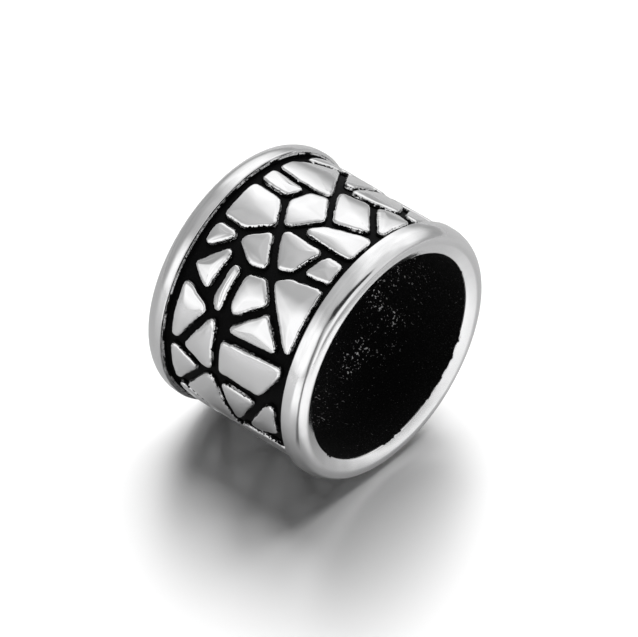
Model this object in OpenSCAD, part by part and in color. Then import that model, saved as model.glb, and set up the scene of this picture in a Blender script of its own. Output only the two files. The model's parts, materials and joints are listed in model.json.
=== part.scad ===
// Dreadlock bead: a short steel tube with a round rim at each end and a band of
// flat cobble stones between them. The stones stand on a blackened ground, and
// the cracks between them show it. The real thing is one casting, so it is one
// solid here. The bead lies on its two rims: the hole runs along X, the mouth
// that faces the viewer looks along +X, and Z = 0 is the surface below it.

/* [Hole] */
// Diameter of the hole that the lock of hair goes through
bore_d = 8.1; // [6:0.1:12]
// Depth of the flare at each of the hole's two mouths
flare_depth = 0.17; // [0.05:0.01:0.4]
// Rounding of the hole's edge inside each flare
lip_round = 0.05; // [0.02:0.01:0.1]

/* [Wall] */
// Metal between the hole and the blackened ground
wall_t = 0.57; // [0.45:0.01:1.2]
// Height of the stones over the ground
stone_h = 0.25; // [0.1:0.01:0.4]
// Height of the rims over the stones
rim_proud = 0.13; // [0.02:0.01:0.3]

/* [Length] */
// Length of the bead along its hole
bead_l = 7.4; // [6:0.2:14]
// Width of each rim along the hole
rim_w = 0.84; // [0.7:0.02:1.2]
// Rounding across each rim's crown
crown_round = 0.86; // [0.8:0.02:3]
// Rounding of each rim's outer edge
edge_round = 0.35; // [0.1:0.05:0.35]
// Rounding of each rim's edge over the groove
groove_round = 0.05; // [0.05:0.05:0.25]
// Distance of each rim's highest line from that edge
crown_in = 0.2; // [0.1:0.05:0.3]

/* [Stones] */
// Width of the cracks between the stones
crack_w = 0.26; // [0.16:0.02:0.34]
// Width of the groove between the stones and each rim
rim_gap = 0.29; // [0.2:0.01:0.6]
// Rounding of the stones' corners
corner_r = 0.14; // [0.04:0.02:0.2]

/* [Hidden] */
$fn = 96;

// Radii from the hole outward
bore_r = bore_d / 2;
ground_r = bore_r + wall_t;
stone_r = ground_r + stone_h;
rim_r = stone_r + rim_proud;

// The band between the rims, and the part of it that the chart covers. Half a
// crack is taken off the stones all round, also where they face a rim.
band_l = bead_l - 2 * rim_w;
chart_l = band_l - 2 * rim_gap + crack_w;

// Each stone is sunk into the wall, down to a flat foot this far off the hole
foot_gap = 0.1;
// Sides of a full turn of a stone's rounded corner
corner_sides = 20;
// Steps in each arc of a rim's section
ARC_STEPS = 8;
// The chart covers half a turn and is laid this many times
lays = 2;

// Where the cracks meet, charted by eye, as [turn, along]. The turn is in
// degrees round the hole from the line that the bead lies on, and along is in
// hundredths of the chart's length, from the far rim at -50 to the near one at 50.
JUNCTIONS = [
    // 0 to 8, along the far rim
    [135, -50], [160, -50], [170.3, -50], [182, -50], [205.6, -50], [224.6, -50],
    [232.5, -50], [263.8, -50], [291, -50],
    // 9 to 15, below the far row's first stones
    [139.5, -27], [171.3, -15.5], [183, -22], [168.5, -0.5], [160.5, -7], [206, -27],
    [211.7, -27.5],
    // 16 to 22, round the middle of the chart
    [196.7, -8.5], [216.3, -22], [218.7, -10], [238.8, -27], [242.7, -20], [243, -5],
    [249.6, -10],
    // 23 to 27, below the far row's last stones
    [264.8, -40.5], [271, -18], [269.8, -8], [290.3, -42], [300.5, -24],
    // 28 to 34, above the near row
    [183, 15], [193.8, -1], [216.5, 8], [227.6, 21.5], [194.6, 32], [211.3, 22],
    [245.6, 44.5],
    // 35 to 40, at both ends of the near row
    [269.5, 33], [293.5, 11.5], [297, 4], [157, 19], [151.5, 36], [176.5, 45],
    // 41 to 50, along the near rim
    [153, 50], [174.5, 50], [179, 50], [194.6, 50], [208.2, 50], [245.2, 50],
    [254, 48], [262, 46], [285.5, 48], [292, 50],
    // 51 to 56, where the next lay of the chart begins
    [135, 50], [134, -28], [134, 1.5], [135.5, 24], [292.5, 28], [303, 1.5],
    // 57 to 65, corners that one stone or two draw back from a wide crossing
    [228, -50], [237.5, -24.5], [156, -10.5], [156, -2], [159.3, -4], [214.6, 8.5],
    [235, -10.5], [243, -11.5], [248.8, -6],
];

// Junctions of the next lay, half a turn on
LAY_TURN = 360 / lays;
NEXT = len(JUNCTIONS);

// The stones, as [trim, corners]. The trim in mm is taken off all round,
// beside half a crack, and the corners are junctions, going round the stone.
STONES = [
    // Far row
    [0.02, [0, 1, 9, 52]],
    [0.00, [1, 2, 10, 12, 13, 9]],
    [0.00, [2, 3, 11, 10]],
    [0.00, [3, 4, 14, 16, 11]],
    [0.02, [4, 5, 15, 14]],
    [0.00, [57, 19, 17, 15]],
    [0.02, [6, 7, 23, 20, 19]],
    [0.03, [7, 8, 26, 24, 23]],
    [0.03, [26, 27, 56, 37, 25, 24]],
    [0.03, [8, NEXT, NEXT + 52, NEXT + 53, 56, 27, 26]],
    // Middle row
    [0.02, [52, 9, 59, 60, 53]],
    [0.00, [10, 11, 16, 29, 28, 12]],
    [0.02, [14, 15, 18, 30, 16]],
    [0.02, [17, 58, 20, 64, 18]],
    [0.02, [18, 63, 21, 31, 30]],
    [0.02, [20, 23, 24, 25, 22, 64]],
    [0.00, [53, 61, 38, 39, 54]],
    [0.00, [13, 12, 28, 40, 38]],
    [0.00, [29, 16, 62, 33, 32]],
    [0.00, [28, 29, 32, 44, 43, 40]],
    // Near row
    [0.02, [54, 39, 41, 51]],
    [0.00, [39, 38, 40, 42, 41]],
    [0.02, [32, 33, 45, 44]],
    [0.02, [33, 30, 31, 34, 46, 45]],
    [0.02, [31, 21, 65, 34]],
    [0.06, [22, 25, 35, 47, 46, 34]],
    [0.06, [25, 37, 36, 35]],
    [0.04, [35, 36, 55, 49, 48]],
    [0.03, [56, NEXT + 53, NEXT + 54, NEXT + 51, 50, 55, 36, 37]],
];

// A junction of this lay, or of the next one
function junction(i) =
    i < NEXT ? JUNCTIONS[i] : JUNCTIONS[i - NEXT] + [LAY_TURN, 0];

// Mean of a list of numbers
function mean(list, i = 0, sum = 0) =
    i == len(list) ? sum / i : mean(list, i + 1, sum + list[i]);

// Section of the tube and its two rims, as [distance from the axis, place along it]
module wall_section() {
    translate([bore_r, -bead_l / 2 + rim_w]) square([wall_t, band_l]);
    for (end = [0, 1]) mirror([0, end]) rim_section();
}

// Points on part of a circle. The turns go from the way out towards the end.
function arc(middle, radius, start, stop) =
    [for (i = [0 : ARC_STEPS]) let (a = start + (stop - start) * i / ARC_STEPS)
        middle + radius * [cos(a), sin(a)]];

// Section of one rim: a crown that curves down to a rounded outer edge, and a
// flare from there to the edge of the hole
module rim_section() {
    end = bead_l / 2;
    groove = [rim_r - groove_round, end - rim_w + groove_round];
    top = end - rim_w + max(crown_in, groove_round);
    reach = end - edge_round - top;
    crown = max(crown_round, edge_round + reach);
    sweep = asin(reach / (crown - edge_round));
    edge = [rim_r - crown + (crown - edge_round) * cos(sweep), end - edge_round];
    lip = [bore_r + lip_round, end - flare_depth - lip_round];
    across = lip - edge;
    flare = atan2(across.y, across.x) - acos((edge_round - lip_round) / norm(across));
    polygon(concat(
        [[bore_r, end - rim_w]],
        arc(groove, groove_round, -90, 0),
        arc([rim_r - crown, top], crown, 0, sweep),
        arc(edge, edge_round, sweep, flare),
        arc(lip, lip_round, flare, 180)));
}

// One stone: its outline stands on the ground, and its top is part of a cylinder
module stone(trim, corners) {
    places = [for (i = corners) junction(i)];
    turn = mean([for (p = places) p[0]]);
    outline = [for (p = places) [stone_r * sin(p[0] - turn), chart_l * p[1] / 100]];
    inset = crack_w / 2 + trim;
    rotate([0, 0, turn]) intersection() {
        cylinder(r = stone_r, h = band_l, center = true);
        translate([bore_r + foot_gap, 0, 0]) rotate([90, 0, 90])
            linear_extrude(stone_r)
                offset(r = corner_r, $fn = corner_sides) offset(delta = -inset - corner_r)
                    polygon(outline);
    }
}

// The whole bead, lying on its rims
module bead() {
    color("silver") translate([0, 0, rim_r]) rotate([0, 90, 0]) {
        rotate_extrude() wall_section();
        for (lay = [0 : lays - 1]) rotate([0, 0, lay * LAY_TURN])
            for (row = STONES) stone(row[0], row[1]);
    }
}

bead();
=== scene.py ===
"""A dreadlock bead of blackened and polished steel, lying on a pale studio floor.

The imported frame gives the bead's main sizes: the radii of the hole, the ground, the
stones and the rims, the bead's length, and each stone's outline. Three rows of domed
stones and a turned tube with its two rims are rebuilt from them in finer shape, and
stand for the solid. Small sizes, such as roundings and burrs, are set here. Lengths are
in millimetres where nothing else is said.
"""

import json
import logging
import math
from dataclasses import dataclass
from enum import Enum
from itertools import pairwise

import bpy
import numpy as np
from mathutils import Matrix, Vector, noise

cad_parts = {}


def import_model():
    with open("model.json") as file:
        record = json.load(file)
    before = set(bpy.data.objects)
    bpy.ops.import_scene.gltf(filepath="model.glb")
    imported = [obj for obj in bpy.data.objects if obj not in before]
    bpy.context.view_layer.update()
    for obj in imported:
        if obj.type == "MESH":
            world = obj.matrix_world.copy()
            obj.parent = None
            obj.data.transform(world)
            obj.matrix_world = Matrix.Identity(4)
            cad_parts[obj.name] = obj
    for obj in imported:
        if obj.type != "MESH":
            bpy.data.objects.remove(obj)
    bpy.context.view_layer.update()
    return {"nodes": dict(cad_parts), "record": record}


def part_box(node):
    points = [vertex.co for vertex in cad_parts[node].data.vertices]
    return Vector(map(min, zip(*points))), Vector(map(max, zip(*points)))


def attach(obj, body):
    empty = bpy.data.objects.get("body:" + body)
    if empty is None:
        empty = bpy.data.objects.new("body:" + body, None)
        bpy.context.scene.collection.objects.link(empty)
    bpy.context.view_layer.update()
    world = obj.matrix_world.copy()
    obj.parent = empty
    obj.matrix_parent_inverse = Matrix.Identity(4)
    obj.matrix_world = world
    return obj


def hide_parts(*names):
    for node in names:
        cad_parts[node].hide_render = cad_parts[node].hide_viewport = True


LOG = logging.getLogger("dreadlock_bead")

NODE = "bead"
BODY = "root"
MM = 0.001

Colour = tuple[float, float, float, float]
Faces = list[tuple[int, ...]]


class Row(Enum):
    """The rows of stones along the hole.

    Each value is where the row ends, in shares of the band's length from its middle.
    """

    FAR = -0.17
    MIDDLE = 0.17
    NEAR = 0.5


# Shader maths


class Value:
    """A socket of a node tree that Python's own operators work on."""

    def __init__(self, tree: "Tree", socket: bpy.types.NodeSocket) -> None:
        """Keeps the tree, which new nodes go to, and the socket."""
        self.tree = tree
        self.socket = socket

    def _math(self, operation: str, first: "Value | float", second: "Value | float") -> "Value":
        """Adds one Math node and returns its result."""
        return self.tree.add("ShaderNodeMath", {"operation": operation}, {0: first, 1: second})

    def __add__(self, other: "Value | float") -> "Value":
        """Returns self + other."""
        return self._math("ADD", self, other)

    __radd__ = __add__

    def __sub__(self, other: "Value | float") -> "Value":
        """Returns self - other."""
        return self._math("SUBTRACT", self, other)

    def __rsub__(self, other: "Value | float") -> "Value":
        """Returns other - self."""
        return self._math("SUBTRACT", other, self)

    def __mul__(self, other: "Value | float") -> "Value":
        """Returns self * other."""
        return self._math("MULTIPLY", self, other)

    __rmul__ = __mul__

    def __truediv__(self, other: "Value | float") -> "Value":
        """Returns self / other."""
        return self._math("DIVIDE", self, other)

    def __pow__(self, other: "Value | float") -> "Value":
        """Returns self to the power of other."""
        return self._math("POWER", self, other)

    def __abs__(self) -> "Value":
        """Returns the size of self without its sign."""
        return self._math("ABSOLUTE", self, 0.0)

    def or_more(self, other: "Value | float") -> "Value":
        """Returns the larger of self and other."""
        return self._math("MAXIMUM", self, other)

    def step(self, low: float, high: float) -> "Value":
        """Returns 0 where self is below low, 1 where it is above high, and a smooth rise."""
        inputs = {"Value": self, "From Min": low, "From Max": high}
        return self.tree.add("ShaderNodeMapRange", {"interpolation_type": "SMOOTHSTEP"}, inputs)

    def _vector(
        self, operation: str, inputs: dict[int | str, object], output: int | str = 0
    ) -> "Value":
        """Adds one Vector Math node, with self first, and returns its result."""
        settings = {"operation": operation}
        return self.tree.add("ShaderNodeVectorMath", settings, {0: self} | inputs, output)

    def away_from(self, point: Vector) -> "Value":
        """Returns the vector from a point to self."""
        return self._vector("SUBTRACT", {1: point})

    def times(self, scale: float) -> "Value":
        """Returns the vector, that many times as long."""
        return self._vector("SCALE", {"Scale": scale})

    def in_shares(self, shares: tuple[float, float, float]) -> "Value":
        """Returns the vector with each of its parts multiplied by a share."""
        return self._vector("MULTIPLY", {1: shares})

    def unit(self) -> "Value":
        """Returns the vector's direction."""
        return self._vector("NORMALIZE", {})

    def dot(self, other: "Value | Vector") -> "Value":
        """Returns the dot product of two vectors."""
        return self._vector("DOT_PRODUCT", {1: other}, "Value")

    def parts(self) -> tuple["Value", ...]:
        """Returns the vector's X, Y and Z."""
        node = self.tree.add("ShaderNodeSeparateXYZ", {}, {0: self}).socket.node
        return tuple(Value(self.tree, socket) for socket in node.outputs)


class Tree:
    """The node tree of a new material or of the world."""

    def __init__(self, owner: bpy.types.Material | bpy.types.World) -> None:
        """Empties the owner's node tree.

        Args:
            owner: the material or the world.
        """
        owner.use_nodes = True
        self.owner = owner
        self.nodes = owner.node_tree.nodes
        self.links = owner.node_tree.links
        self.nodes.clear()

    def add(
        self,
        kind: str,
        settings: dict[str, object],
        inputs: dict[int | str, object],
        output: int | str = 0,
    ) -> Value:
        """Adds a node.

        Args:
            kind: the node's type, such as ShaderNodeMath.
            settings: the node's own properties, which are set first.
            inputs: a value, or another node's result, for each socket that isn't left alone.
            output: the socket to return.

        Returns:
            That output.
        """
        node = self.nodes.new(kind)
        for name, setting in settings.items():
            setattr(node, name, setting)
        for key, given in inputs.items():
            if isinstance(given, Value):
                self.links.new(given.socket, node.inputs[key])
            else:
                node.inputs[key].default_value = given
        return Value(self, node.outputs[output])

    def blend(self, factor: Value, first: Colour, second: Colour) -> Value:
        """Returns a colour that goes from first to second with factor."""
        inputs = {0: factor, 6: first, 7: second}
        return self.add("ShaderNodeMix", {"data_type": "RGBA"}, inputs, 2)

    def surface(self, shader: Value) -> None:
        """Leads a shader to the owner's surface.

        Args:
            shader: what the surface is made of, or what the world glows with.
        """
        kind = "World" if isinstance(self.owner, bpy.types.World) else "Material"
        output = self.nodes.new(f"ShaderNodeOutput{kind}")
        self.links.new(shader.socket, output.inputs["Surface"])

    def principled(self, inputs: dict[int | str, object]) -> None:
        """Leads a Principled shader with these inputs to the surface."""
        self.surface(self.add("ShaderNodeBsdfPrincipled", {}, inputs))


@dataclass(frozen=True)
class Cloud:
    """Soft noise from 0 to 1, with its waves to each unit of the place, and its detail."""

    scale: float
    detail: float = 2.0

    def over(self, place: Value) -> Value:
        """Returns the noise at a place."""
        inputs = {"Vector": place, "Scale": self.scale, "Detail": self.detail}
        return place.tree.add("ShaderNodeTexNoise", {}, inputs)

    def both_ways(self, place: Value) -> Value:
        """Returns the noise at a place, from -0.5 to 0.5."""
        return self.over(place) - 0.5


@dataclass(frozen=True)
class Spots:
    """Spots where a cloud is dense, and the densities where their edge starts and ends."""

    cloud: Cloud
    edge: tuple[float, float]

    def over(self, place: Value) -> Value:
        """Returns 1 in the spots and 0 between them."""
        return self.cloud.over(place).step(*self.edge)


# The bead's sizes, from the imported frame


@dataclass(frozen=True)
class Sizes:
    """The bead's sizes in millimetres, and the centre of its hole in metres."""

    bore_r: float
    ground_r: float
    stone_r: float
    rim_r: float
    length: float
    band: float
    centre: Vector


@dataclass(frozen=True)
class Outline:
    """A stone's outline, laid flat round its middle.

    The points are pairs of millimetres: round the hole at the stones' radius, and along
    the hole. The turn is the middle's angle round the hole from the line that the bead
    lies on, in radians.
    """

    turn: float
    points: np.ndarray

    def order(self) -> tuple[float, float]:
        """Returns what puts the stones in order: the turn, then the place along the hole."""
        return round(self.turn, 3), self.points[:, 1].mean()


class PackedBead:
    """Reads the bead's sizes and the stones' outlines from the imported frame."""

    # Points this close are one point, and radii this close are one radius
    same_point: float = 1e-4
    same_radius: float = 2e-3

    def __init__(self, bead: bpy.types.Object, bore: dict) -> None:
        """Welds the solid's mesh and measures it.

        Args:
            bead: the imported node.
            bore: its hole, as the record states it.
        """
        centre = Vector(bore["pos_m"])
        self.places, self.faces = self.weld(bead.data, centre)
        self.radii = np.hypot(self.places[:, 1], self.places[:, 2])
        self.turns = np.arctan2(self.places[:, 1], -self.places[:, 2])
        self.sizes = self.measure(centre, bore["dims"]["r_mm"])

    def weld(self, mesh: bpy.types.Mesh, centre: Vector) -> tuple[np.ndarray, np.ndarray]:
        """Joins the points that lie in one place.

        Args:
            mesh: the solid's mesh.
            centre: the centre of the bead's hole, in metres.

        Returns:
            The points, from the centre, and the triangles as numbers of points.
        """
        flat = np.empty(3 * len(mesh.vertices))
        mesh.vertices.foreach_get("co", flat)
        places = (flat.reshape(-1, 3) - np.array(centre)) / MM
        cells = np.round(places / self.same_point)
        _, first, joined = np.unique(cells, axis=0, return_index=True, return_inverse=True)
        mesh.calc_loop_triangles()
        triangles = np.empty(3 * len(mesh.loop_triangles), dtype=np.int64)
        mesh.loop_triangles.foreach_get("vertices", triangles)
        faces = joined.reshape(-1)[triangles.reshape(-1, 3)]
        whole = (faces != np.roll(faces, 1, axis=1)).all(axis=1)
        return places[first], faces[whole]

    def measure(self, centre: Vector, bore_r: float) -> Sizes:
        """Measures the welded solid.

        Args:
            centre: the centre of the bead's hole, in metres.
            bore_r: the hole's radius.

        Returns:
            The bead's sizes.
        """
        low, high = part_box(NODE)
        length = (high.x - low.x) / MM
        # The middle half of the bead is clear of the rims
        middle = self.radii[np.abs(self.places[:, 0]) < length / 4]
        ground_r = float(middle[middle > bore_r + self.same_radius].min())
        ground = np.abs(self.radii - ground_r) < self.same_radius
        return Sizes(
            bore_r=bore_r,
            ground_r=ground_r,
            stone_r=float(middle.max()),
            rim_r=min(high.y, -low.y, high.z - centre.z, centre.z - low.z) / MM,
            length=length,
            band=2 * float(np.abs(self.places[ground, 0]).max()),
            centre=centre,
        )

    def outlines(self) -> list[Outline]:
        """Follows the border of each stone's top.

        Returns:
            The stones' outlines, in order round the hole.
        """
        top = np.abs(self.radii - self.sizes.stone_r) < self.same_radius
        tops = self.faces[top[self.faces].all(axis=1)]
        edges = {(int(a), int(b)) for face in tops for a, b in zip(face, np.roll(face, -1))}
        following = {a: b for a, b in edges if (b, a) not in edges}
        found = []
        while following:
            start, here = following.popitem()
            loop = [start]
            while here != start:
                loop.append(here)
                here = following.pop(here)
            turns = self.turns[loop]
            turn = float(np.angle(np.exp(1j * turns).mean()))
            round_hole = self.sizes.stone_r * np.angle(np.exp(1j * (turns - turn)))
            found.append(Outline(turn, np.stack([round_hole, self.places[loop, 0]], axis=1)))
        return sorted(found, key=Outline.order)


# Finishes


@dataclass(frozen=True)
class SkinPoint:
    """The point that is being shaded, in millimetres from the middle of the hole.

    Facing is 1 where the skin there faces straight out from the hole, and 0 where it
    faces along it.
    """

    place: Value
    along: Value
    radius: Value
    facing: Value

    @classmethod
    def on_bead(cls, tree: Tree, centre: Vector) -> "SkinPoint":
        """Finds the point on a piece that lies in the bead's own place.

        Args:
            tree: the material's nodes.
            centre: the centre of the bead's hole, in metres.

        Returns:
            The point.
        """
        metres = tree.add("ShaderNodeTexCoord", {}, {}, "Object")
        place = metres.away_from(centre).times(1 / MM)
        along, across, height = place.parts()
        radius = (across * across + height * height) ** 0.5
        skin = tree.add("ShaderNodeNewGeometry", {}, {}, "Normal")
        return cls(place, along, radius, skin.dot(place.in_shares((0, 1, 1)).unit()))


@dataclass(frozen=True)
class HoleSpecks:
    """Bare specks in the blackened hole. They crowd in patches, away from the mouths."""

    # Distances out from the hole's wall, where they fade
    skin: tuple[float, float] = (0.02, 0.05)
    # Distances from the middle along the hole, between which they get fewer
    deep: tuple[float, float] = (0.2, 2.3)
    patches: Spots = Spots(Cloud(0.8, 3.0), (0.44, 0.6))
    worms: Spots = Spots(Cloud(11.0, 3.0), (0.665, 0.725))
    # How much denser the worms' cloud is in the depth and in the patches
    denser_deep: float = 0.015
    denser_patches: float = 0.06
    # How bare the worms are everywhere, and how much more so there
    bare: float = 0.15
    bare_deep: float = 0.2
    bare_patches: float = 0.65
    grain: Spots = Spots(Cloud(20.0), (0.5, 0.8))
    grain_bare: float = 0.04

    def over(self, point: SkinPoint, bore_r: float) -> Value:
        """Masks the specks.

        Args:
            point: the point that is being shaded.
            bore_r: the hole's radius.

        Returns:
            How bare the metal is there, from 0 to 1.
        """
        low, high = self.skin
        inside = 1 - point.radius.step(bore_r + low, bore_r + high)
        deep = 1 - abs(point.along).step(*self.deep)
        patches = self.patches.over(point.place) * deep
        worms = self.worms.cloud.over(point.place)
        worms = worms + self.denser_deep * deep + self.denser_patches * patches
        bare = self.bare + self.bare_deep * deep + self.bare_patches * patches
        grain = self.grain.over(point.place) * self.grain_bare
        return (worms.step(*self.worms.edge) * bare + grain) * inside


@dataclass(frozen=True)
class BlackenedSteel:
    """Steel that is blackened all over, then polished where a wheel reaches it."""

    name: str
    # Depths below the piece's highest radius: of the polish's border, of the border on
    # skin that faces outward, and of the foot of the belt of bare burrs
    bright_depth: float
    level_depth: float
    burr_depth: float
    # How far the border of the polish wanders, and how much deeper it lies in chips
    ragged: float
    chip_depth: float
    burr_patches: Spots
    burrs: Spots = Spots(Cloud(7.0, 4.0), (0.4, 0.44))
    burr_high: float = 0.06
    wander: Cloud = Cloud(11.0, 3.0)
    chip_patches: Spots = Spots(Cloud(3.2), (0.5, 0.62))
    chips: Spots = Spots(Cloud(11.0), (0.48, 0.6))
    # Half the width of the polish's soft border, and the width of the other borders
    feather: float = 0.012
    border: float = 0.01
    # Between these facings the skin begins to count as facing outward
    level: tuple[float, float] = (0.75, 0.85)
    # The polish in the hole's mouths: its depth, its share of the wander, and the bites
    mouth_depth: float = 0.23
    mouth_wander: float = 0.6
    bites: Spots = Spots(Cloud(1.1, 3.0), (0.5, 0.66))
    bite_depth: float = 0.065
    # Distances out from the hole's wall, past which it has no bites and reaches deeper
    outside: tuple[float, float] = (0.3, 0.4)
    outside_deeper: float = 0.1
    specks: HoleSpecks = HoleSpecks()
    steel: Colour = (0.86, 0.86, 0.865, 1.0)
    black: Colour = (0.0035, 0.0035, 0.0037, 1.0)
    # Roughness of the polish, the blackened metal and the burrs, and how it varies
    polish: float = 0.09
    worn: Cloud = Cloud(2.2, 4.0)
    worn_more: float = 0.05
    soot: float = 0.62
    sooty: Cloud = Cloud(30.0, 3.0)
    soot_more: float = 0.2
    burr_rough: float = 0.15
    # How much light the blackened metal throws back
    soot_sheen: float = 0.08
    # Relief of the cast ground and of the waves that the wheel leaves in the polish
    cast: Cloud = Cloud(14.0, 5.0)
    wheel: Cloud = Cloud(1.3, 1.0)
    wheel_share: float = 0.5
    relief: float = 0.02

    def material(self, sizes: Sizes, top_r: float) -> bpy.types.Material:
        """Builds the material.

        Args:
            sizes: the bead's sizes.
            top_r: the highest radius of the piece that wears it.

        Returns:
            The material, for pieces in the bead's own place.
        """
        material = bpy.data.materials.new(self.name)
        tree = Tree(material)
        point = SkinPoint.on_bead(tree, sizes.centre)
        polished = self.polished(point, sizes, top_r)
        burrs = self.bare_burrs(point, top_r)
        bright = polished.or_more(self.specks.over(point, sizes.bore_r)).or_more(burrs)

        glossy = self.polish + self.worn_more * self.worn.over(point.place)
        sooty = self.soot + self.soot_more * self.sooty.over(point.place)
        rough = sooty * (1 - burrs) + self.burr_rough * burrs
        grain = self.cast.over(point.place) * (1 - polished)
        grain = grain + self.wheel_share * self.wheel.over(point.place) * polished
        bump = {"Strength": 1.0, "Distance": self.relief * MM, "Height": grain}
        tree.principled(
            {
                "Base Color": tree.blend(bright, self.black, self.steel),
                "Metallic": bright,
                "Roughness": glossy * polished + rough * (1 - polished),
                "Specular IOR Level": self.soot_sheen,
                "Normal": tree.add("ShaderNodeBump", {}, bump),
            }
        )
        return material

    def polished(self, point: SkinPoint, sizes: Sizes, top_r: float) -> Value:
        """Masks what the wheel reaches.

        Args:
            point: the point that is being shaded.
            sizes: the bead's sizes.
            top_r: the highest radius of the piece.

        Returns:
            1 on raised metal, on the skin that faces outward and in the hole's mouths.
        """
        wander = self.wander.both_ways(point.place) * self.ragged
        chips = self.chip_patches.over(point.place) * self.chips.over(point.place)
        bright = top_r - self.bright_depth
        raised = point.radius + wander + chips * self.chip_depth
        raised = raised.step(bright - self.feather, bright + self.feather)

        level_from = top_r - self.level_depth
        level = point.facing.step(*self.level)
        level = level * point.radius.step(level_from, level_from + self.border)

        mouth = sizes.length / 2 - self.mouth_depth
        low, high = self.outside
        outside = point.radius.step(sizes.bore_r + low, sizes.bore_r + high)
        bites = self.bites.over(point.place) * (1 - outside) * self.bite_depth
        reach = abs(point.along) + wander * self.mouth_wander - bites
        reach = reach + outside * self.outside_deeper
        ends = reach.step(mouth - self.feather, mouth + self.feather)
        return raised.or_more(ends).or_more(level)

    def bare_burrs(self, point: SkinPoint, top_r: float) -> Value:
        """Masks the bare burrs at the foot of the polished edges.

        Args:
            point: the point that is being shaded.
            top_r: the highest radius of the piece.

        Returns:
            1 on the burrs.
        """
        low = top_r - self.burr_depth
        high = low + self.burr_high
        foot = point.radius.step(low, low + self.border)
        belt = foot * (1 - point.radius.step(high, high + self.border))
        return self.burrs.over(point.place) * self.burr_patches.over(point.place) * belt


RIM_STEEL = BlackenedSteel(
    "rim_steel",
    bright_depth=0.115,
    level_depth=0.095,
    burr_depth=0.195,
    ragged=0.12,
    chip_depth=0.0,
    burr_patches=Spots(Cloud(0.8), (0.45, 0.52)),
)
STONE_STEEL = BlackenedSteel(
    "stone_steel",
    bright_depth=0.105,
    level_depth=0.16,
    burr_depth=0.185,
    ragged=0.22,
    chip_depth=0.05,
    burr_patches=Spots(Cloud(0.8), (0.52, 0.59)),
)


@dataclass(frozen=True)
class SatinFloor:
    """The finish of the pale floor that the camera sees."""

    colour: Colour = (0.92, 0.92, 0.92, 1.0)
    roughness: float = 0.34
    metallic: float = 0.32

    def material(self) -> bpy.types.Material:
        """Builds the material.

        Returns:
            The material.
        """
        material = bpy.data.materials.new("satin_floor")
        Tree(material).principled(
            {
                "Base Color": self.colour,
                "Roughness": self.roughness,
                "Metallic": self.metallic,
            }
        )
        return material


@dataclass(frozen=True)
class PaintedLightFloor:
    """The finish of the dimmer floor that the polish mirrors, with painted light and shade.

    Its dim white all over is painted shade, so that the polish mirrors a greyer floor
    than the camera sees. Lighter zones beside the near mouth and farther out in front of
    the bead are painted light, for floor that lies lit past the bead's shadow. A faint
    painted glow lifts its shade, though it is no lamp. A painted dark strip towards
    the camera's viewpoint shows as a dark line in the polish. A pair of numbers is where
    such a zone's soft border starts and ends. Along is the way that the near mouth faces,
    and across is away from the viewer.
    """

    # Shares of white: everywhere, which is painted shade, and the painted light added in the lit
    # zones
    dim: float = 0.33
    painted_light: float = 0.32
    # The zones of painted light, beside the near mouth and in front of the bead
    beside_along: tuple[float, float] = (4.5, 8.5)
    beside_across: tuple[float, float] = (3.0, 8.0)
    front_along: tuple[float, float] = (0.0, 3.5)
    front_across: tuple[float, float] = (-22.0, -9.0)
    # The painted dark strip: its side step and half width to each unit of the way out, the
    # distances where it starts, and how much darker it is
    strip_aside: float = -0.2
    strip_half: tuple[float, float] = (0.03, 0.1)
    strip_start: tuple[float, float] = (7.0, 9.0)
    strip_darker: float = 0.75
    roughness: float = 0.25
    metallic: float = 0.3
    # Its painted glow, a faint light of its own that lifts its shade, in shares of white
    glow: float = 0.06

    def material(self, azimuth: float) -> bpy.types.Material:
        """Builds the material.

        Args:
            azimuth: the photograph's viewpoint, in degrees.

        Returns:
            The material, for a floor round the bead's own origin.
        """
        material = bpy.data.materials.new("mirrored_floor")
        tree = Tree(material)
        place = tree.add("ShaderNodeTexCoord", {}, {}, "Object").times(1 / MM)
        along, across = place.dot(Vector((1, 0, 0))), place.dot(Vector((0, 1, 0)))
        # Painted light and shade: dim all over, lighter where the floor lies lit past the bead's
        # shadow
        beside = along.step(*self.beside_along) * (1 - across.step(*self.beside_across))
        front = along.step(*self.front_along) * (1 - across.step(*self.front_across))
        # A painted dark strip towards the camera, which the polish shows as a dark line
        ahead = direction(azimuth, 0)
        towards = place.dot(ahead)
        aside = abs(place.dot(Vector((-ahead.y, ahead.x, 0))) / towards - self.strip_aside)
        strip = (1 - aside.step(*self.strip_half)) * towards.step(*self.strip_start)
        shade = beside.or_more(front) * self.painted_light + self.dim
        tree.principled(
            {
                "Base Color": shade * (1 - self.strip_darker * strip),
                "Roughness": self.roughness,
                "Metallic": self.metallic,
                # A painted glow that lifts the floor's shade, though the floor is no lamp
                "Emission Color": (self.glow, self.glow, self.glow, 1.0),
                "Emission Strength": 1.0,
            }
        )
        return material


# The bead's pieces


def add_piece(
    name: str,
    points: np.ndarray,
    faces: Faces,
    centre: Vector,
    material: bpy.types.Material,
) -> bpy.types.Object:
    """Makes a smooth-shaded piece.

    Args:
        name: the piece's name.
        points: its points in millimetres from the centre.
        faces: its faces, as numbers of points.
        centre: the centre of the bead's hole, in metres.
        material: its finish.

    Returns:
        The piece, which rides on the bead's body and stands for the solid with the others.
    """
    mesh = bpy.data.meshes.new(name)
    mesh.from_pydata((points * MM + np.array(centre)).tolist(), [], faces)
    mesh.validate()
    mesh.shade_smooth()
    mesh.materials.append(material)
    piece = bpy.data.objects.new(name, mesh)
    bpy.context.scene.collection.objects.link(piece)
    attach(piece, BODY)
    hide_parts(NODE)
    return piece


def round_the_hole(radius: np.ndarray, turn: np.ndarray, along: np.ndarray) -> np.ndarray:
    """Returns points at these radii and turns round the hole, and these places along it."""
    return np.stack([along, radius * np.sin(turn), -radius * np.cos(turn)], axis=-1)


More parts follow.
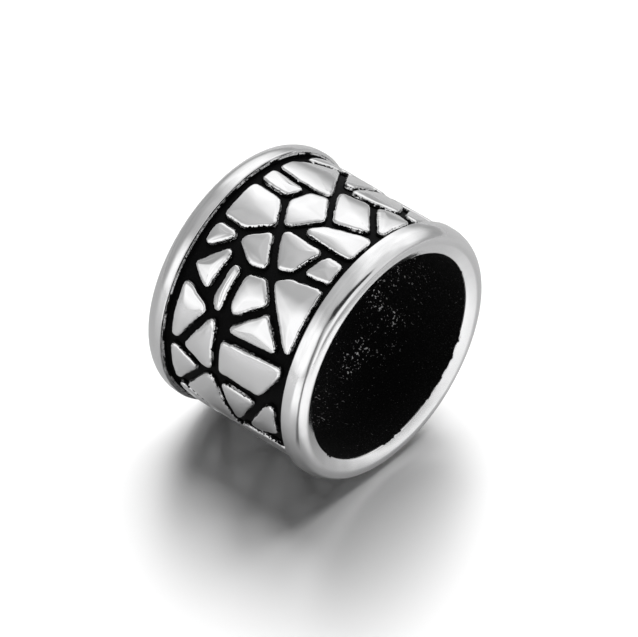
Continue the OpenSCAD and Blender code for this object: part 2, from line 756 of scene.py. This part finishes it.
def neighbours(count: int) -> list[tuple[int, int]]:
    """Returns the number of each point of a closed ring, with the next point's."""
    return [(i, (i + 1) % count) for i in range(count)]


def between_rings(first: int, second: int, count: int) -> Faces:
    """Returns the faces between two rings, from the number of each ring's first point."""
    return [(first + i, first + j, second + j, second + i) for i, j in neighbours(count)]


@dataclass(frozen=True)
class Arc:
    """Part of a circle in the tube's section, with its middle as [along, radius].

    The bend is its radius, less than nothing where it is hollow. Its ends are given as
    the slope of the skin there: 0 degrees where the skin faces away from the hole, 90
    where it faces along it, outward.
    """

    middle: tuple[float, float]
    bend: float
    start: float
    stop: float
    steps: int

    def points(self) -> list[tuple[float, float]]:
        """Lays out the arc.

        Returns:
            Its points, as [along, radius].
        """
        slopes = np.radians(np.linspace(self.start, self.stop, self.steps + 1))
        along, radius = self.middle
        return [(along + self.bend * math.sin(a), radius + self.bend * math.cos(a)) for a in slopes]


@dataclass(frozen=True)
class RimmedTube:
    """The bead's tube with its blackened ground and its two polished rims."""

    sizes: Sizes
    finish: BlackenedSteel = RIM_STEEL
    # The groove beside each rim: where the flat ground ends, and the rounding at its foot
    ground_end: float = 0.3
    foot_round: float = 0.04
    # The burr on the rim's wall over the groove
    burr_out: float = 0.035
    burr_high: float = 0.085
    burr_drop: float = 0.13
    burr_slope: float = 0.02
    # The rim, from the groove round to the hole
    groove_round: float = 0.05
    crown_in: float = 0.2
    crown_round: float = 0.86
    edge_round: float = 0.35
    flare_depth: float = 0.17
    lip_round: float = 0.05
    # Steps in the arcs, of which the small ones are the groove's and the lip's, and
    # sides round the hole
    foot_steps: int = 5
    small_steps: int = 8
    edge_steps: int = 24
    crown_steps: int = 30
    sides: int = 384

    def near_half(self) -> list[tuple[float, float]]:
        """Lays out the near half of the section.

        Returns:
            Its points, as [along, radius], from the ground's middle round the rim and back
            along the hole.
        """
        sizes = self.sizes
        band, end = sizes.band / 2, sizes.length / 2
        foot = (band - self.foot_round, sizes.ground_r + self.foot_round)
        groove = (band + self.groove_round, sizes.rim_r - self.groove_round)
        crown = (band + self.crown_in, sizes.rim_r - self.crown_round)
        inward = self.crown_round - self.edge_round
        sweep = math.asin((end - self.edge_round - crown[0]) / inward)
        edge = (end - self.edge_round, crown[1] + inward * math.cos(sweep))
        lip = (end - self.flare_depth - self.lip_round, sizes.bore_r + self.lip_round)
        across = Vector((lip[0] - edge[0], lip[1] - edge[1]))
        opening = math.acos((self.edge_round - self.lip_round) / across.length)
        outer = math.degrees(sweep)
        flare = math.degrees(math.atan2(*across) - opening)
        over = sizes.rim_r - self.burr_drop
        under = over - self.burr_high
        tip = band - self.burr_out
        return (
            [(0.0, sizes.ground_r), (band - self.ground_end, sizes.ground_r)]
            + Arc(foot, -self.foot_round, 0, -90, self.foot_steps).points()
            + [(band, under), (tip, under + self.burr_slope)]
            + [(tip, over - self.burr_out), (band, over)]
            + Arc(groove, self.groove_round, -90, 0, self.small_steps).points()
            + Arc(crown, self.crown_round, 0, outer, self.crown_steps).points()
            + Arc(edge, self.edge_round, outer, flare, self.edge_steps).points()[1:]
            + Arc(lip, self.lip_round, flare, 180, self.small_steps).points()
            + [(band, sizes.bore_r), (band / 2, sizes.bore_r)]
        )

    def section(self) -> np.ndarray:
        """Mirrors the near half to the far one.

        Returns:
            The section's points, as [along, radius], all round the tube's wall.
        """
        near = self.near_half()
        far = [(-along, radius) for along, radius in reversed(near[1:])]
        return np.array(near + [(0.0, self.sizes.bore_r)] + far)

    def build(self) -> bpy.types.Object:
        """Turns the section round the hole.

        Returns:
            The piece.
        """
        section = self.section()
        count = len(section)
        turns = np.linspace(0, 2 * math.pi, self.sides, endpoint=False)
        along, radius, turn = np.broadcast_arrays(*section.T, turns[:, None])
        points = round_the_hole(radius, turn, along).reshape(-1, 3)
        faces = []
        for here, there in neighbours(self.sides):
            faces += between_rings(here * count, there * count, count)
        material = self.finish.material(self.sizes, self.sizes.rim_r)
        return add_piece("rimmed_tube", points, faces, self.sizes.centre, material)


def outward(border: np.ndarray) -> np.ndarray:
    """Finds which way is out of a closed border.

    Args:
        border: its points, which go round anticlockwise.

    Returns:
        The unit outward direction at each point.
    """
    along = np.roll(border, -1, 0) - np.roll(border, 1, 0)
    normal = np.stack([along[:, 1], -along[:, 0]], axis=1)
    return normal / np.linalg.norm(normal, axis=1, keepdims=True)


def soften(border: np.ndarray, times: int) -> np.ndarray:
    """Rounds the corners of a closed border.

    Args:
        border: its points.
        times: how often each point moves towards its neighbours.

    Returns:
        The softer border.
    """
    for _ in range(times):
        border = (np.roll(border, 1, 0) + 2 * border + np.roll(border, -1, 0)) / 4
    return border


def uneven(border: np.ndarray, rate: float, seed: float) -> np.ndarray:
    """Returns smooth noise at each of a border's points, with that many waves to each mm."""
    return np.array([[noise.noise(Vector((x * rate, y * rate, seed)))] for x, y in border])


@dataclass(frozen=True)
class StoneBand:
    """The rows of domed and polished stones on the ground between the rims."""

    sizes: Sizes
    outlines: list[Outline]
    finish: BlackenedSteel = STONE_STEEL
    # The border: how far apart its points are, the fewest of them, its waver as sizes
    # and waves to each millimetre, and how often it is softened itself, on the shelf
    # inside the rounded edge, and on each ring of the dome
    spacing: float = 0.035
    fewest: int = 24
    waver: tuple[tuple[float, float], ...] = ((0.03, 2.5), (0.018, 9.0))
    border_soft: int = 16
    shelf_soft: int = 14
    top_soft: int = 10
    # The rounded edge: its drop, its width, and how much the width varies round a stone
    edge_drop: float = 0.08
    edge_width: float = 0.145
    edge_vary: float = 0.9
    edge_rate: float = 1.3
    # The dome's height over its edge, and how far it leans each way at most
    crown: float = 0.026
    lean_deg: float = 2.0
    # The foot, which is sunk into the ground, and the burr over it
    sunk: float = 0.04
    sunk_out: float = 0.05
    foot_out: float = 0.01
    burr_out: float = 0.04
    burr_slope: float = 0.02
    burr_below: float = 0.04
    edge_rings: int = 6
    top_rings: int = 7
    # A stone's turn times this is its own number for the noise
    seed_rate: float = 7.3
    # Where the noise is read for the two ways that a stone leans, and for its edge
    lean_seeds: tuple[tuple[float, float], ...] = ((1.7, 0.0), (9.1, 4.0))
    edge_seed: float = 5.0

    def row_of(self, outline: Outline) -> Row:
        """Returns the row that the stone's middle lies in."""
        share = outline.points[:, 1].mean() / self.sizes.band
        return next(row for row in Row if share < row.value)

    def border(self, points: np.ndarray, seed: float) -> np.ndarray:
        """Spaces a stone's border evenly, softens it and lets it waver a little.

        Args:
            points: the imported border.
            seed: the stone's own number.

        Returns:
            The new border, which goes round anticlockwise.
        """
        x, y = points.T
        if float(np.sum(x * np.roll(y, -1) - y * np.roll(x, -1))) < 0:
            points = points[::-1]
        closed = np.vstack([points, points[:1]])
        steps = np.hypot(*np.diff(closed, axis=0).T)
        reach = np.concatenate([[0], np.cumsum(steps)])
        count = max(self.fewest, int(round(reach[-1] / self.spacing)))
        stops = np.linspace(0, reach[-1], count, endpoint=False)
        even = np.stack([np.interp(stops, reach, closed[:, k]) for k in (0, 1)], axis=1)
        even = soften(even, self.border_soft)
        waver = sum(size * uneven(even, rate, seed) for size, rate in self.waver)
        return even + outward(even) * waver

    def rings(self, border: np.ndarray, seed: float) -> list[tuple[np.ndarray, float]]:
        """Lays out the stone's rings of points, from its sunk foot to the top of its dome.

        Args:
            border: the stone's border.
            seed: the stone's own number.

        Returns:
            Each ring laid flat, with its radius from the hole's axis.
        """
        sizes = self.sizes
        middle = border.mean(axis=0)
        out = outward(border)
        soft = soften(border, self.shelf_soft)
        vary = 1 + self.edge_vary * uneven(soft, self.edge_rate, seed + self.edge_seed)
        shelf = soft - self.edge_width * vary * outward(soft)
        crest = sizes.stone_r - self.crown
        foot = sizes.ground_r + self.sunk
        below = crest - self.edge_drop - self.burr_below
        rings = [
            (border + out * self.sunk_out, sizes.ground_r - self.sunk),
            (border + out * self.foot_out, foot),
            (border + out * self.burr_out, foot + self.burr_slope),
            (border + out * self.burr_out, below - self.burr_out),
            (border, below),
        ]
        for k in range(self.edge_rings + 1):
            share = 1 - math.cos(math.pi / 2 * k / self.edge_rings)
            drop = 1 - math.sqrt(max(0.0, 1 - (1 - share) ** 2))
            ring = border * (1 - share) + shelf * share
            rings.append((ring, crest - self.edge_drop * drop))
        ring = rings[-1][0]
        # Half a ring more keeps the last one off the middle
        for k in range(1, self.top_rings + 1):
            share = 1 - k / (self.top_rings + 0.5)
            ring = soften(ring, self.top_soft * k)
            rings.append((middle + (ring - middle) * share, sizes.stone_r - self.crown * share**2))
        return rings

    def lean(self, offsets: np.ndarray, seed: float) -> np.ndarray:
        """Leans a stone's top.

        Args:
            offsets: the points' places from the stone's middle.
            seed: the stone's own number.

        Returns:
            How much the radius changes at each point, so that none rises.
        """
        ways = [noise.noise(Vector((seed, *place))) for place in self.lean_seeds]
        tilt = offsets @ (math.radians(self.lean_deg) * np.array(ways))
        return tilt - np.abs(tilt).max()

    def stone(self, outline: Outline) -> tuple[np.ndarray, Faces]:
        """Builds one stone as a closed, domed solid.

        Args:
            outline: the stone's packed border.

        Returns:
            Its points in millimetres from the bead's centre, and its faces.
        """
        seed = self.seed_rate * outline.turn
        border = self.border(outline.points, seed)
        middle = border.mean(axis=0)
        rings = self.rings(border, seed)
        flat = np.concatenate([ring for ring, _ in rings] + [middle[None], middle[None]])
        radii = [radius for ring, radius in rings for _ in ring]
        radii = np.array(radii + [rings[0][1], self.sizes.stone_r])
        leaning = radii > self.sizes.stone_r - self.crown - self.edge_drop
        radii = radii + np.where(leaning, self.lean(flat - middle, seed), 0.0)
        turns = outline.turn + flat[:, 0] / self.sizes.stone_r
        points = round_the_hole(radii, turns, flat[:, 1])

        count = len(border)
        starts = range(0, count * len(rings), count)
        faces = [face for a, b in pairwise(starts) for face in between_rings(a, b, count)]
        under, over = len(points) - 2, len(points) - 1
        for i, j in neighbours(count):
            faces.append((starts[-1] + i, starts[-1] + j, over))
            faces.append((j, i, under))
        return points, faces

    def build(self) -> list[bpy.types.Object]:
        """Builds each row as one piece.

        Returns:
            The pieces, from the far row to the near one.
        """
        material = self.finish.material(self.sizes, self.sizes.stone_r)
        pieces = []
        for row in Row:
            stones, faces, start = [], [], 0
            for outline in (one for one in self.outlines if self.row_of(one) is row):
                points, own_faces = self.stone(outline)
                stones.append(points)
                faces += [tuple(start + i for i in face) for face in own_faces]
                start += len(points)
            name = f"{row.name.lower()}_row_stones"
            points = np.concatenate(stones)
            pieces.append(add_piece(name, points, faces, self.sizes.centre, material))
        return pieces


# The studio


def direction(azimuth: float, elevation: float) -> Vector:
    """Returns the unit vector from the bead towards this azimuth and elevation, in degrees."""
    az, el = math.radians(azimuth), math.radians(elevation)
    return Vector((math.sin(az) * math.cos(el), -math.cos(az) * math.cos(el), math.sin(el)))


@dataclass(frozen=True)
class Panel:
    """A flat panel that faces the bead: a softbox, or a dim card that hides what is behind it.

    Azimuth and elevation are in degrees, as the camera's are. Wide and high are the
    degrees that it covers, seen from the bead. Feather is the share of its half that
    its soft edge takes up, inward and outward. Ahead is the soft limit that keeps it out
    of the opposite half of the room.
    """

    azimuth: float
    elevation: float
    wide: float
    high: float
    feather: float
    glow: float
    ahead: tuple[float, float] = (0.02, 0.1)
    least_ahead: float = 0.01

    def over(self, view: Value, behind: Value) -> Value:
        """Hangs the panel in front of the light that is there.

        Args:
            view: the direction that is looked in.
            behind: the light from that direction without the panel.

        Returns:
            The light with the panel.
        """
        ahead = direction(self.azimuth, self.elevation)
        right = Vector((-ahead.y, ahead.x, 0)).normalized()
        facing = view.dot(ahead)
        mask = facing.step(*self.ahead)
        for axis, angle in ((right, self.wide), (ahead.cross(right), self.high)):
            half = math.tan(math.radians(angle / 2))
            off = abs(view.dot(axis)) / facing.or_more(self.least_ahead)
            mask = mask * (1 - off.step(half * (1 - self.feather), half * (1 + self.feather)))
        return (self.glow - behind) * mask + behind


@dataclass(frozen=True)
class FloorLamp:
    """A round soft lamp over the floor, with its width and distance in metres."""

    name: str
    azimuth: float
    elevation: float
    across: float
    watts: float
    away: float = 0.4

    def build(self, centre: Vector) -> None:
        """Hangs the lamp, which the camera and the polish don't see.

        Args:
            centre: the point that it faces, in metres.
        """
        light = bpy.data.lights.new(self.name, "AREA")
        light.shape = "DISK"
        light.size = self.across
        light.energy = self.watts
        lamp = bpy.data.objects.new(self.name, light)
        towards = direction(self.azimuth, self.elevation)
        lamp.location = centre + towards * self.away
        lamp.rotation_mode = "QUATERNION"
        lamp.rotation_quaternion = towards.to_track_quat("Z", "Y")
        lamp.visible_camera = False
        lamp.visible_glossy = False
        bpy.context.scene.collection.objects.link(lamp)


@dataclass(frozen=True)
class Room:
    """The light round the bead: a dim room with panels, before a pale backdrop.

    The polish and the floor's sheen mirror the room and the panels, and the camera sees
    the backdrop. Apart from that sheen it doesn't light the floor.
    """

    dim: float = 0.39
    # The glow straight above, and the rise of a direction where it begins
    zenith: float = 0.58
    zenith_from: float = 0.5
    # How much the light varies, and how
    uneven: float = 0.5
    cloud: Cloud = Cloud(4.0)
    backdrop: float = 0.92
    # Azimuth, elevation, wide, high, feather and glow
    panels: tuple[Panel, ...] = (
        Panel(170, 52, 130, 64, 0.6, 1.1),
        Panel(-8, 22, 66, 46, 0.5, 1.15),
        Panel(102, 36, 80, 32, 0.3, 1.0),
        Panel(122, 37, 50, 62, 0.5, 0.76),
        Panel(52, 5, 22, 60, 0.5, 1.1),
        Panel(30, 18, 8, 60, 0.8, 0.15),
        Panel(75, 55, 46, 15, 0.3, 0.02),
        Panel(43, 50, 15, 17, 0.3, 0.03),
    )

    def build(self) -> None:
        """Builds the room as the scene's world."""
        world = bpy.data.worlds.new("studio")
        tree = Tree(world)
        view = tree.add("ShaderNodeTexCoord", {}, {}, "Generated")
        rise = view.dot(Vector((0, 0, 1))).step(self.zenith_from, 1.0)
        glow = rise * (self.zenith - self.dim) + self.dim
        for panel in self.panels:
            glow = panel.over(view, glow)
        glow = glow * (self.cloud.both_ways(view) * self.uneven + 1)
        seen = tree.add("ShaderNodeLightPath", {}, {}, "Is Camera Ray")
        glow = glow * (1 - seen) + self.backdrop * seen
        tree.surface(tree.add("ShaderNodeBackground", {}, {"Color": glow}))
        world.cycles_visibility.diffuse = False
        bpy.context.scene.world = world


@dataclass(frozen=True)
class Studio:
    """The floors, the room, the lamps and the camera."""

    centre: Vector
    # The camera: angles in degrees, distance in metres, lens, aim off the bead's centre,
    # and the nearest distance that it shows, in metres
    azimuth: float = 42.1
    elevation: float = 42.3
    distance: float = 0.19912
    lens: float = 317.87
    aim_right: float = 0.1165
    aim_down: float = 0.2414
    nearest: float = 0.01
    # The floors: their sides in metres, and how far the mirrored one lies below the other
    floor_side: float = 6.0
    mirrored_below: float = 0.02
    satin: SatinFloor = SatinFloor()
    mirrored: PaintedLightFloor = PaintedLightFloor()
    room: Room = Room()
    # Name, azimuth, elevation, width and watts
    lamps: tuple[FloorLamp, ...] = (
        FloorLamp("key_lamp", -152, 60, 0.42, 2.9),
        FloorLamp("fill_lamp", 60, 70, 0.6, 0.04),
    )

    def build(self) -> None:
        """Builds the floors, the light and the camera."""
        self.build_floors()
        self.room.build()
        for lamp in self.lamps:
            lamp.build(self.centre)
        self.build_camera()
        bpy.context.scene.view_settings.view_transform = "Standard"

    def build_floor(
        self, name: str, below: float, material: bpy.types.Material
    ) -> bpy.types.Object:
        """Lays a floor.

        Args:
            name: its name.
            below: how far it lies below the bead.
            material: its finish.

        Returns:
            The floor.
        """
        half = self.floor_side / 2
        sides = ((-half, -half), (half, -half), (half, half), (-half, half))
        mesh = bpy.data.meshes.new(name)
        mesh.from_pydata([(x, y, -below * MM) for x, y in sides], [], [(0, 1, 2, 3)])
        mesh.materials.append(material)
        floor = bpy.data.objects.new(name, mesh)
        bpy.context.scene.collection.objects.link(floor)
        return floor

    def build_floors(self) -> None:
        """Lays the pale floor, and below it the dimmer one with painted light and shade, which the
        polish mirrors.
        """
        seen = self.build_floor("floor", 0.0, self.satin.material())
        seen.visible_glossy = False
        seen.visible_shadow = False
        # The lower floor, with painted light and shade, is hidden from the camera
        finish = self.mirrored.material(self.azimuth)
        mirrored = self.build_floor("mirrored_floor", self.mirrored_below, finish)
        mirrored.visible_camera = False

    def build_camera(self) -> None:
        """Sets the camera at the photograph's angle."""
        data = bpy.data.cameras.new("camera")
        data.lens = self.lens
        data.clip_start = self.nearest
        camera = bpy.data.objects.new("camera", data)
        back = direction(self.azimuth, self.elevation)
        right = Vector((-back.y, back.x, 0)).normalized()
        off = right * self.aim_right - back.cross(right) * self.aim_down
        camera.location = self.centre + off * MM + back * self.distance
        camera.rotation_mode = "QUATERNION"
        camera.rotation_quaternion = back.to_track_quat("Z", "Y")
        bpy.context.scene.collection.objects.link(camera)
        bpy.context.scene.camera = camera


def main() -> None:
    """Builds the bead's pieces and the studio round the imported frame."""
    logging.basicConfig(level=logging.INFO, format="%(message)s")
    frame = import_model()
    packed = PackedBead(frame["nodes"][NODE], frame["record"]["mounts"][0])
    sizes = packed.sizes
    outlines = packed.outlines()
    LOG.info("sizes: %s", sizes)
    LOG.info("stones: %d", len(outlines))

    pieces = [RimmedTube(sizes).build(), *StoneBand(sizes, outlines).build()]
    for piece in pieces:
        mesh = piece.data
        LOG.info("%s: %d points, %d faces", piece.name, len(mesh.vertices), len(mesh.polygons))
    Studio(sizes.centre).build()


if __name__ == "__main__":
    main()
